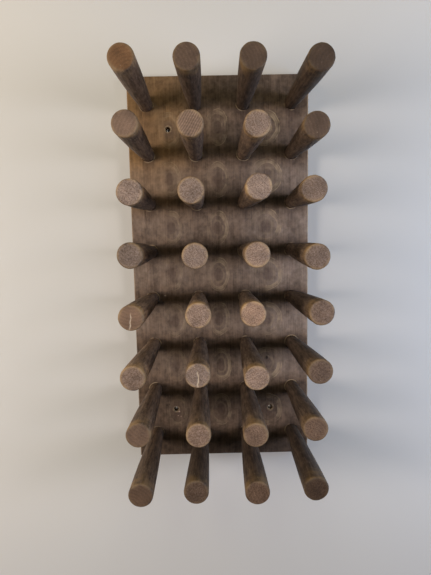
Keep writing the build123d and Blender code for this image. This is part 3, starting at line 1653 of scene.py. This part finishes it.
    def add_mark(
        self,
        tree: bpy.types.NodeTree,
        colour: bpy.types.Node,
        flat: bpy.types.Node,
        mark: Mark,
    ) -> bpy.types.Node:
        """Puts one blemish on the board.

        Args:
            tree: The material's tree.
            colour: The colour so far.
            flat: The place on the board's face, mm.
            mark: The blemish.

        Returns:
            The new colour.
        """
        off = add_node(
            tree, "ShaderNodeVectorMath", {0: flat, 1: (mark.x, 0.0, mark.z)}, operation="SUBTRACT"
        )
        off = add_node(
            tree,
            "ShaderNodeVectorMath",
            {0: off, 1: (1 / mark.width, 0.0, 1 / mark.height)},
            operation="MULTIPLY",
        )
        distance = add_node(
            tree, "ShaderNodeVectorMath", {0: off}, operation="LENGTH"
        ).outputs["Value"]
        amount = add_node(
            tree,
            "ShaderNodeMapRange",
            {
                "Value": distance,
                "From Min": 1 - mark.soft,
                "From Max": 1.0,
                "To Min": mark.strength,
                "To Max": 0.0,
            },
        )
        return add_node(
            tree,
            "ShaderNodeMix",
            {"Factor": amount, "A": colour, "B": linear(mark.colour)},
            data_type="RGBA",
        )


@dataclass(frozen=True)
class WallPaint:
    """Matt off-white emulsion on plaster, rolled on: nearly even, with a faint stipple.

    The wall can be looked through from behind, so that it doesn't hide the rack's back.

    Attributes:
        paint: The paint's colour.
    """

    paint: str = "#d2d4d4"

    def build(self) -> bpy.types.Material:
        """Builds the material.

        Returns:
            The material.
        """
        material, tree = new_material("wall_paint")
        place = add_node(tree, "ShaderNodeTexCoord").outputs["Object"]
        stipple = add_node(
            tree, "ShaderNodeTexNoise", {"Vector": place, "Scale": 700.0, "Detail": 2.0}
        ).outputs["Fac"]
        bump = add_node(
            tree, "ShaderNodeBump", {"Strength": 0.15, "Distance": 0.2 * MM, "Height": stipple}
        )
        shader = add_node(
            tree,
            "ShaderNodeBsdfPrincipled",
            {
                "Base Color": linear(self.paint),
                "Roughness": 0.9,
                "Specular IOR Level": 0.2,
                "Normal": bump,
            },
        )
        clear = add_node(tree, "ShaderNodeBsdfTransparent")
        behind = add_node(tree, "ShaderNodeNewGeometry").outputs["Backfacing"]
        both = add_node(tree, "ShaderNodeMixShader", {0: behind, 1: shader, 2: clear})
        add_node(tree, "ShaderNodeOutputMaterial", {"Surface": both})
        return material


@dataclass
class PegLathe:
    """Geometry Nodes tree that turns one peg: a swelled taper, a rounded rim and a crowned end.

    Attributes:
        side_rings: Rings of faces along the side.
        rim_rings: Rings round the free end's edge.
        face_rings: Rings from the edge to the middle of the end.
        spokes: Faces round the peg.
        rim_round: Radius of the rubbed edge, mm.
        crown: How far the middle of the end stands out, mm.
        ripple: How far the turned side strays from its true shape, mm.
        nick_depth: Depth of the knocks on the edge, mm.
        middle_share: The innermost ring's radius over the end's, which closes the middle.
        rim_fade: How sharply the rim's wear and painted highlight fade towards the middle, as a
            power.
        split_depth: Depth of a drying split, mm.
        split_wander: How far a split strays from straight, mm.
        split_stop: From the axis to where a split fades, and to where it ends, mm.
        thinnest: Least width that a split is worked out for, mm.
    """

    side_rings: int = 36
    rim_rings: int = 6
    face_rings: int = 16
    spokes: int = 96
    rim_round: float = 2.4
    crown: float = 0.35
    ripple: float = 0.22
    nick_depth: float = 0.9
    middle_share: float = 0.002
    rim_fade: float = 14.0
    split_depth: float = 0.7
    split_wander: float = 2.5
    split_stop: tuple[float, float] = (3.0, 7.0)
    thinnest: float = 0.01

    def build(self) -> bpy.types.NodeTree:
        """Builds the tree.

        Returns:
            The tree, whose inputs are the peg's sizes, place, tone and finish.
        """
        tree = bpy.data.node_groups.new("turned_peg", "GeometryNodeTree")
        for name, kind in (
            ("Inner End", "NodeSocketVector"),
            ("Direction", "NodeSocketVector"),
            ("Length", "NodeSocketFloat"),
            ("Hold", "NodeSocketFloat"),
            ("Inner Radius", "NodeSocketFloat"),
            ("Root Radius", "NodeSocketFloat"),
            ("Swell", "NodeSocketFloat"),
            ("Tip Radius", "NodeSocketFloat"),
            ("Rim Round", "NodeSocketFloat"),
            ("Pith", "NodeSocketVector"),
            ("Tone", "NodeSocketVector"),
            ("Sawn", "NodeSocketFloat"),
            ("Split Width", "NodeSocketFloat"),
            ("Split Turn", "NodeSocketFloat"),
            ("Finish", "NodeSocketMaterial"),
        ):
            tree.interface.new_socket(name=name, in_out="INPUT", socket_type=kind)
        tree.interface.new_socket(name="Peg", in_out="OUTPUT", socket_type="NodeSocketGeometry")
        sizes = add_node(tree, "NodeGroupInput").outputs

        # one point for each ring, from the thin end to the middle of the free end
        rim_start = self.side_rings
        face_start = rim_start + self.rim_rings
        last = face_start + self.face_rings
        index = add_node(tree, "GeometryNodeInputIndex")
        side = add_node(tree, "ShaderNodeMapRange", {"Value": index, "From Max": rim_start})
        straight = add_node(
            tree,
            "ShaderNodeMath",
            {0: sizes["Length"], 1: sizes["Rim Round"]},
            operation="SUBTRACT",
        )
        # the crown takes its height out of the length, so that the peg ends where it should
        straight = add_node(
            tree, "ShaderNodeMath", {0: straight, 1: self.crown * MM}, operation="SUBTRACT"
        )
        along = add_node(tree, "ShaderNodeMath", {0: side, 1: straight}, operation="MULTIPLY")
        side_radius = self.build_side_radius(tree, sizes, along, straight)
        turn = add_node(
            tree,
            "ShaderNodeMapRange",
            {"Value": index, "From Min": rim_start, "From Max": face_start, "To Max": math.pi / 2},
        )
        inward = add_node(
            tree, "ShaderNodeMapRange", {"Value": index, "From Min": face_start, "From Max": last}
        )
        crown = add_node(
            tree,
            "ShaderNodeMapRange",
            {"Value": index, "From Min": face_start, "From Max": last, "To Max": self.crown * MM},
            interpolation_type="SMOOTHSTEP",
        )
        cosine = add_node(tree, "ShaderNodeMath", {0: turn}, operation="COSINE")
        sine = add_node(tree, "ShaderNodeMath", {0: turn}, operation="SINE")
        cut_back = add_node(tree, "ShaderNodeMath", {0: 1.0, 1: cosine}, operation="SUBTRACT")
        cut_back = add_node(
            tree, "ShaderNodeMath", {0: cut_back, 1: sizes["Rim Round"]}, operation="MULTIPLY"
        )
        edge_radius = add_node(
            tree, "ShaderNodeMath", {0: side_radius, 1: cut_back}, operation="SUBTRACT"
        )
        kept = add_node(
            tree,
            "ShaderNodeMapRange",
            {"Value": inward, "To Min": 1.0, "To Max": self.middle_share},
        )
        radius = add_node(tree, "ShaderNodeMath", {0: edge_radius, 1: kept}, operation="MULTIPLY")
        reach = add_node(tree, "ShaderNodeMath", {0: along, 1: crown}, operation="ADD")
        reach = add_node(
            tree,
            "ShaderNodeMath",
            {0: sine, 1: sizes["Rim Round"], 2: reach},
            operation="MULTIPLY_ADD",
        )
        points = add_node(tree, "GeometryNodeMeshLine", {"Count": last + 1})
        points = add_node(
            tree,
            "GeometryNodeSetPosition",
            {"Geometry": points, "Position": add_node(tree, "ShaderNodeCombineXYZ", {"Z": reach})},
        )
        rim_face = add_node(tree, "ShaderNodeMath", {0: kept, 1: self.rim_fade}, operation="POWER")
        rim_turn = add_node(
            tree, "ShaderNodeMapRange", {"Value": turn, "From Min": 0.25, "From Max": 0.9}
        )
        rim = add_node(tree, "ShaderNodeMath", {0: rim_turn, 1: rim_face}, operation="MULTIPLY")
        on_face = add_node(
            tree, "ShaderNodeMapRange", {"Value": turn, "From Min": 0.6, "From Max": 1.3}
        )
        wear = add_node(tree, "ShaderNodeCombineXYZ", {"X": side, "Y": rim, "Z": on_face})
        points = add_node(
            tree,
            "GeometryNodeStoreNamedAttribute",
            {"Geometry": points, "Name": "wear", "Value": wear},
            data_type="FLOAT_VECTOR",
            domain="POINT",
        )
        axis = add_node(tree, "GeometryNodeMeshToCurve", {"Mesh": points})
        circle = add_node(
            tree, "GeometryNodeCurvePrimitiveCircle", {"Resolution": self.spokes, "Radius": 1.0}
        )
        peg = add_node(
            tree,
            "GeometryNodeCurveToMesh",
            {"Curve": axis, "Profile Curve": circle, "Scale": radius, "Fill Caps": True},
        )

        # the wood's own space in mm, whose Z axis is the tree's pith
        place = add_node(tree, "GeometryNodeInputPosition")
        grain = add_node(
            tree,
            "ShaderNodeVectorMath",
            {0: place, 1: (1 / MM, 1 / MM, 1 / MM), 2: sizes["Pith"]},
            operation="MULTIPLY_ADD",
        )
        peg = add_node(
            tree,
            "GeometryNodeStoreNamedAttribute",
            {"Geometry": peg, "Name": "grain", "Value": grain},
            data_type="FLOAT_VECTOR",
            domain="POINT",
        )
        peg = add_node(
            tree,
            "GeometryNodeStoreNamedAttribute",
            {"Geometry": peg, "Name": "tone", "Value": sizes["Tone"]},
            data_type="FLOAT_VECTOR",
            domain="POINT",
        )
        peg = add_node(
            tree,
            "GeometryNodeStoreNamedAttribute",
            {"Geometry": peg, "Name": "sawn", "Value": sizes["Sawn"]},
            data_type="FLOAT",
            domain="POINT",
        )
        wood = add_node(
            tree, "GeometryNodeInputNamedAttribute", {"Name": "grain"}, data_type="FLOAT_VECTOR"
        )
        worn = add_node(
            tree, "GeometryNodeInputNamedAttribute", {"Name": "wear"}, data_type="FLOAT_VECTOR"
        )
        worn_along, worn_rim, worn_face = add_node(
            tree, "ShaderNodeSeparateXYZ", {"Vector": worn}
        ).outputs

        # a split runs from the edge past the middle of the end
        turned = add_node(
            tree,
            "ShaderNodeVectorRotate",
            {"Vector": place, "Angle": sizes["Split Turn"]},
            rotation_type="Z_AXIS",
        )
        across, down, _ = add_node(tree, "ShaderNodeSeparateXYZ", {"Vector": turned}).outputs
        wander = add_node(
            tree, "ShaderNodeTexNoise", {"Vector": wood, "Scale": 0.12, "Detail": 2.0}
        ).outputs["Fac"]
        reach_out = self.split_wander * MM
        wander = add_node(
            tree,
            "ShaderNodeMapRange",
            {"Value": wander, "To Min": -reach_out, "To Max": reach_out},
        )
        across = add_node(tree, "ShaderNodeMath", {0: wander, 1: across}, operation="ADD")
        across = add_node(tree, "ShaderNodeMath", {0: across}, operation="ABSOLUTE")
        open_width = add_node(
            tree,
            "ShaderNodeMath",
            {0: sizes["Split Width"], 1: self.thinnest * MM},
            operation="MAXIMUM",
        )
        split = add_node(
            tree,
            "ShaderNodeMapRange",
            {"Value": across, "From Max": open_width, "To Min": 1.0, "To Max": 0.0},
        )
        run = add_node(
            tree,
            "ShaderNodeMapRange",
            {
                "Value": down,
                "From Min": self.split_stop[0] * MM,
                "From Max": self.split_stop[1] * MM,
                "To Min": 1.0,
                "To Max": 0.0,
            },
        )
        split = add_node(tree, "ShaderNodeMath", {0: split, 1: run}, operation="MULTIPLY")
        split = add_node(tree, "ShaderNodeMath", {0: split, 1: worn_face}, operation="MULTIPLY")
        peg = add_node(
            tree,
            "GeometryNodeStoreNamedAttribute",
            {"Geometry": peg, "Name": "split", "Value": split},
            data_type="FLOAT",
            domain="POINT",
        )

        # the side isn't quite true, and the edge has knocks
        long_space = add_node(
            tree, "ShaderNodeVectorMath", {0: wood, 1: (1.0, 1.0, 0.15)}, operation="MULTIPLY"
        )
        ripple = add_node(
            tree, "ShaderNodeTexNoise", {"Vector": long_space, "Scale": 0.11, "Detail": 2.0}
        ).outputs["Fac"]
        ripple = add_node(
            tree,
            "ShaderNodeMapRange",
            {"Value": ripple, "To Min": -2 * self.ripple * MM, "To Max": 0.6 * self.ripple * MM},
        )
        knocks = add_node(
            tree, "ShaderNodeTexNoise", {"Vector": wood, "Scale": 0.2, "Detail": 3.0}
        ).outputs["Fac"]
        knocks = add_node(
            tree,
            "ShaderNodeMapRange",
            {"Value": knocks, "From Min": 0.56, "From Max": 0.75, "To Max": -self.nick_depth * MM},
        )
        knocks = add_node(tree, "ShaderNodeMath", {0: knocks, 1: worn_rim}, operation="MULTIPLY")
        cut = add_node(
            tree,
            "ShaderNodeMath",
            {0: split, 1: -self.split_depth * MM, 2: knocks},
            operation="MULTIPLY_ADD",
        )
        move = add_node(tree, "ShaderNodeMath", {0: ripple, 1: cut}, operation="ADD")
        # the seated end stays true in its bore
        seated = add_node(
            tree, "ShaderNodeMapRange", {"Value": worn_along, "From Min": 0.1, "From Max": 0.2}
        )
        move = add_node(tree, "ShaderNodeMath", {0: move, 1: seated}, operation="MULTIPLY")
        offset = add_node(
            tree,
            "ShaderNodeVectorMath",
            {0: add_node(tree, "GeometryNodeInputNormal"), "Scale": move},
            operation="SCALE",
        )
        peg = add_node(tree, "GeometryNodeSetPosition", {"Geometry": peg, "Offset": offset})
        aim = add_node(
            tree, "FunctionNodeAlignRotationToVector", {"Vector": sizes["Direction"]}, axis="Z"
        )
        peg = add_node(
            tree,
            "GeometryNodeTransform",
            {"Geometry": peg, "Translation": sizes["Inner End"], "Rotation": aim},
        )
        peg = add_node(tree, "GeometryNodeSetShadeSmooth", {"Geometry": peg})
        peg = add_node(tree, "GeometryNodeRealizeInstances", {"Geometry": peg})
        peg = add_node(
            tree, "GeometryNodeSetMaterial", {"Geometry": peg, "Material": sizes["Finish"]}
        )
        add_node(tree, "NodeGroupOutput", {"Peg": peg})
        return tree

    def build_side_radius(
        self,
        tree: bpy.types.NodeTree,
        sizes: bpy.types.NodeOutputs,
        along: bpy.types.Node,
        straight: bpy.types.Node,
    ) -> bpy.types.Node:
        """Adds the side's radius: a straight taper in the board, then a swelled one.

        Args:
            tree: The lathe's tree.
            sizes: The tree's inputs.
            along: Distance from the thin end.
            straight: Length of the side up to the rounded rim.

        Returns:
            The node that gives the radius.
        """
        seated = add_node(
            tree,
            "ShaderNodeMapRange",
            {
                "Value": along,
                "From Max": sizes["Hold"],
                "To Min": sizes["Inner Radius"],
                "To Max": sizes["Root Radius"],
            },
        )
        share = add_node(
            tree,
            "ShaderNodeMapRange",
            {"Value": along, "From Min": sizes["Hold"], "From Max": straight},
        )
        growth = add_node(
            tree,
            "ShaderNodeMath",
            {0: sizes["Tip Radius"], 1: sizes["Root Radius"]},
            operation="SUBTRACT",
        )
        radius = add_node(
            tree, "ShaderNodeMath", {0: share, 1: growth, 2: seated}, operation="MULTIPLY_ADD"
        )
        # share * (1 - share) is a quarter at its highest, half way along
        rest = add_node(tree, "ShaderNodeMath", {0: 1.0, 1: share}, operation="SUBTRACT")
        hump = add_node(tree, "ShaderNodeMath", {0: share, 1: rest}, operation="MULTIPLY")
        hump = add_node(tree, "ShaderNodeMath", {0: hump, 1: 4.0}, operation="MULTIPLY")
        return add_node(
            tree,
            "ShaderNodeMath",
            {0: hump, 1: sizes["Swell"], 2: radius},
            operation="MULTIPLY_ADD",
        )


@dataclass
class PegSet:
    """All the pegs, each turned by the same lathe and dressed in its own tone.

    Attributes:
        lathe: The tree's sizes.
        finish: The pegs' wood.
        pith_distance: How far the pith lies outside a peg's axis, mm, least and most.
        trunk: Length of wood that the pegs' patterns are taken from, mm.
        seed: Seed of the pegs' growth rings.
    """

    lathe: PegLathe
    finish: StainedPegWood
    pith_distance: tuple[float, float] = (18.0, 60.0)
    trunk: float = 300.0
    seed: int = 7

    def build(self, axes: dict[tuple[int, int], PegAxis]) -> None:
        """Turns and dresses every peg.

        Args:
            axes: The pegs' axes by (row, column).
        """
        tree = self.lathe.build()
        finish = self.finish.build()
        chance = random.Random(self.seed)
        for (row, column), axis in axes.items():
            tone = PEG_TONES[row - 1][column - 1]
            turn = chance.uniform(0, 2 * math.pi)
            distance = chance.uniform(*self.pith_distance)
            pith_x, pith_y = distance * math.cos(turn), distance * math.sin(turn)
            values = {
                "Inner End": axis.inner,
                "Direction": axis.direction,
                "Length": (axis.tip - axis.inner).length,
                "Hold": axis.hold,
                "Inner Radius": axis.inner_radius,
                "Root Radius": axis.root_radius,
                "Swell": axis.middle_radius - (axis.root_radius + axis.tip_radius) / 2,
                "Tip Radius": axis.tip_radius,
                "Rim Round": self.lathe.rim_round * MM,
                "Pith": (pith_x, pith_y, self.trunk * chance.random()),
                "Tone": (tone.end, tone.side, tone.warm),
                "Sawn": tone.grain.value,
                "Split Width": tone.split * MM,
                "Split Turn": math.radians(tone.split_turn),
                "Finish": finish,
            }
            piece = self.turn_one(tree, f"turned_peg_{row}_{column}", values)
            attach(piece, BODY)
            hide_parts(axis.node)
            log.info("%s: %d faces", piece.name, len(piece.data.polygons))

    def turn_one(
        self, tree: bpy.types.NodeTree, name: str, values: dict[str, Any]
    ) -> bpy.types.Object:
        """Runs the lathe's tree once and keeps its mesh.

        Args:
            tree: The lathe's tree.
            name: The new piece's name.
            values: A value for each of the tree's inputs.

        Returns:
            A plain mesh object at the origin.
        """
        blank = bpy.data.objects.new(name + "_blank", bpy.data.meshes.new(name + "_blank"))
        bpy.context.scene.collection.objects.link(blank)
        modifier = blank.modifiers.new("lathe", "NODES")
        modifier.node_group = tree
        for socket in tree.interface.items_tree:
            if socket.in_out == "INPUT":
                modifier[socket.identifier] = values[socket.name]
        done = blank.evaluated_get(bpy.context.evaluated_depsgraph_get())
        mesh = bpy.data.meshes.new_from_object(done)
        blank.modifiers.remove(modifier)
        bpy.data.objects.remove(blank)
        piece = bpy.data.objects.new(name, mesh)
        bpy.context.scene.collection.objects.link(piece)
        return piece


@dataclass(frozen=True)
class SoftLight:
    """One rectangular soft light.

    Attributes:
        name: Its name.
        place: Its middle, mm.
        width: Its width, mm.
        height: Its height, mm.
        watts: Its power.
        colour: Its colour as sRGB hex.
        aim: The point it faces, mm.
    """

    name: str
    place: tuple[float, float, float]
    width: float
    height: float
    watts: float
    colour: str
    aim: tuple[float, float, float] = (0.0, -100.0, 0.0)


@dataclass
class Studio:
    """The wall, the soft lights and the camera.

    Two low, wide lights stand level with the rack's middle, one at each side, so that every row
    of pegs throws its shadow along itself and the board is banded dark and light. A weak warm
    light above gilds the top left. One behind the wall lights only the rack's back, through the
    opening that the board covers.

    Attributes:
        wall_size: Side of the square of wall, mm.
        wall_margin: How far the board laps over the wall's opening, mm.
        wall_gap: From the board's back to the wall, mm.
        eye: The camera's place, mm.
        aim: The camera's turn about X, Y and Z, degrees.
        lens: Focal length, mm.
        sensor: The sensor's long side, mm.
        nearest: Distance at which the camera begins to see, mm.
        room_colour: Colour of the room's stray light.
        room_strength: Strength of the room's stray light.
        lights: The soft lights.
    """

    wall_size: float = 6000.0
    wall_margin: float = 1.0
    wall_gap: float = 0.3
    eye: tuple[float, float, float] = (-14.2, -758.6, 54.7)
    aim: tuple[float, float, float] = (83.865, 1.122, -0.462)
    lens: float = 26.92
    sensor: float = 36.0
    nearest: float = 10.0
    room_colour: str = "#e6e8f0"
    room_strength: float = 0.02
    lights: tuple[SoftLight, ...] = (
        SoftLight("left_light", (-1200.0, -1050.0, 0.0), 600.0, 400.0, 17.5, "#fff1e6"),
        SoftLight("right_light", (1200.0, -1050.0, 30.0), 600.0, 400.0, 11.5, "#fff2ef"),
        SoftLight("cool_edge_light", (1100.0, -350.0, 0.0), 500.0, 350.0, 4.6, "#78bbff"),
        SoftLight("high_light", (0.0, -2000.0, 2000.0), 1600.0, 1600.0, 17.1, "#fffee3"),
        SoftLight("warm_top_light", (-1000.0, -500.0, 1000.0), 500.0, 500.0, 2.6, "#ffd07a"),
        SoftLight(
            "back_light", (600.0, 2200.0, 700.0), 1500.0, 1500.0, 60.0, "#fff8f0", (0.0, 0.0, 0.0)
        ),
    )

    def build(self) -> None:
        """Builds the wall, the lights and the camera."""
        self.build_wall()
        for light in self.lights:
            self.build_light(light)
        world = bpy.data.worlds.new("room_light")
        bpy.context.scene.world = world
        world.use_nodes = True
        room = world.node_tree.nodes["Background"].inputs
        room["Color"].default_value = linear(self.room_colour)
        room["Strength"].default_value = self.room_strength
        self.build_camera()
        bpy.context.scene.view_settings.view_transform = "Standard"

    def build_wall(self) -> None:
        """Builds a plain pale wall just behind the board, left open where the board hides it."""
        half, y = self.wall_size * MM / 2, self.wall_gap * MM
        margin = Vector((self.wall_margin, 0.0, self.wall_margin)) * MM
        low, high = Vector(cad_box[0]) + margin, Vector(cad_box[1]) - margin
        mesh = bpy.data.meshes.new("wall")
        outer = [(-half, y, -half), (half, y, -half), (half, y, half), (-half, y, half)]
        opening = [(low.x, y, low.z), (high.x, y, low.z), (high.x, y, high.z), (low.x, y, high.z)]
        faces = [(i, (i + 1) % 4, (i + 1) % 4 + 4, i + 4) for i in range(4)]
        mesh.from_pydata(outer + opening, [], faces)
        mesh.materials.append(WallPaint().build())
        wall = bpy.data.objects.new("wall", mesh)
        bpy.context.scene.collection.objects.link(wall)

    def build_light(self, soft: SoftLight) -> None:
        """Builds one soft light that faces its aim.

        Args:
            soft: The light's place, size and colour.
        """
        light = bpy.data.lights.new(soft.name, "AREA")
        light.shape = "RECTANGLE"
        light.size = soft.width * MM
        light.size_y = soft.height * MM
        light.energy = soft.watts
        light.color = linear(soft.colour)[:3]
        holder = bpy.data.objects.new(soft.name, light)
        holder.location = Vector(soft.place) * MM
        towards = Vector(soft.aim) * MM - holder.location
        holder.rotation_euler = towards.to_track_quat("-Z", "Z").to_euler()
        bpy.context.scene.collection.objects.link(holder)

    def build_camera(self) -> None:
        """Builds the camera and makes it the scene's."""
        camera = bpy.data.cameras.new("camera")
        camera.sensor_width = self.sensor
        camera.lens = self.lens
        camera.clip_start = self.nearest * MM
        holder = bpy.data.objects.new("camera", camera)
        holder.location = Vector(self.eye) * MM
        holder.rotation_euler = [math.radians(turn) for turn in self.aim]
        bpy.context.scene.collection.objects.link(holder)
        bpy.context.scene.camera = holder


@dataclass(frozen=True)
class StaveTone:
    """What sets one stave of the board apart from the others.

    Attributes:
        node: The CAD node's name.
        shift: Moves its grain away from the others', mm.
        paleness: How pale it is, where 1 is the usual.
    """

    node: str
    shift: float
    paleness: float


STAVE_TONES: tuple[StaveTone, ...] = (
    StaveTone("stave_far_left", 13.0, 1.05),
    StaveTone("stave_left", 211.0, 1.0),
    StaveTone("stave_middle", 407.0, 0.97),
    StaveTone("stave_right", 659.0, 1.1),
)


def dress_staves(axes: dict[tuple[int, int], PegAxis], front: float) -> None:
    """Gives each stave of the board its own finish.

    Args:
        axes: The pegs' axes by (row, column).
        front: Y of the board's front face.
    """
    layout = BoardLayout.of(axes, front)
    holes = next(m for m in frame["record"]["mounts"] if m["name"] == "wall_screws")["dims"]
    screws = (holes["spacing_x_mm"] * MM, holes["spacing_y_mm"] * MM)
    for tone in STAVE_TONES:
        name = f"stained_{tone.node}"
        finish = StainedBoardWood(name, layout, screws, tone.shift, tone.paleness).build()
        node = frame["nodes"][tone.node]
        node.data.materials.clear()
        node.data.materials.append(finish)
        log.info("%s dressed", tone.node)


def main() -> None:
    """Builds the pegs, the board's finish and the studio, in that order."""
    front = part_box("stave_middle")[0].y
    axes = {
        (row, column): PegAxis.of(row, column, front)
        for row in range(1, ROWS + 1)
        for column in range(1, COLUMNS + 1)
    }
    PegSet(PegLathe(), StainedPegWood()).build(axes)
    dress_staves(axes, front)
    Studio().build()


if __name__ == "__main__":
    logging.basicConfig(level=logging.INFO, format="%(message)s")
    main()
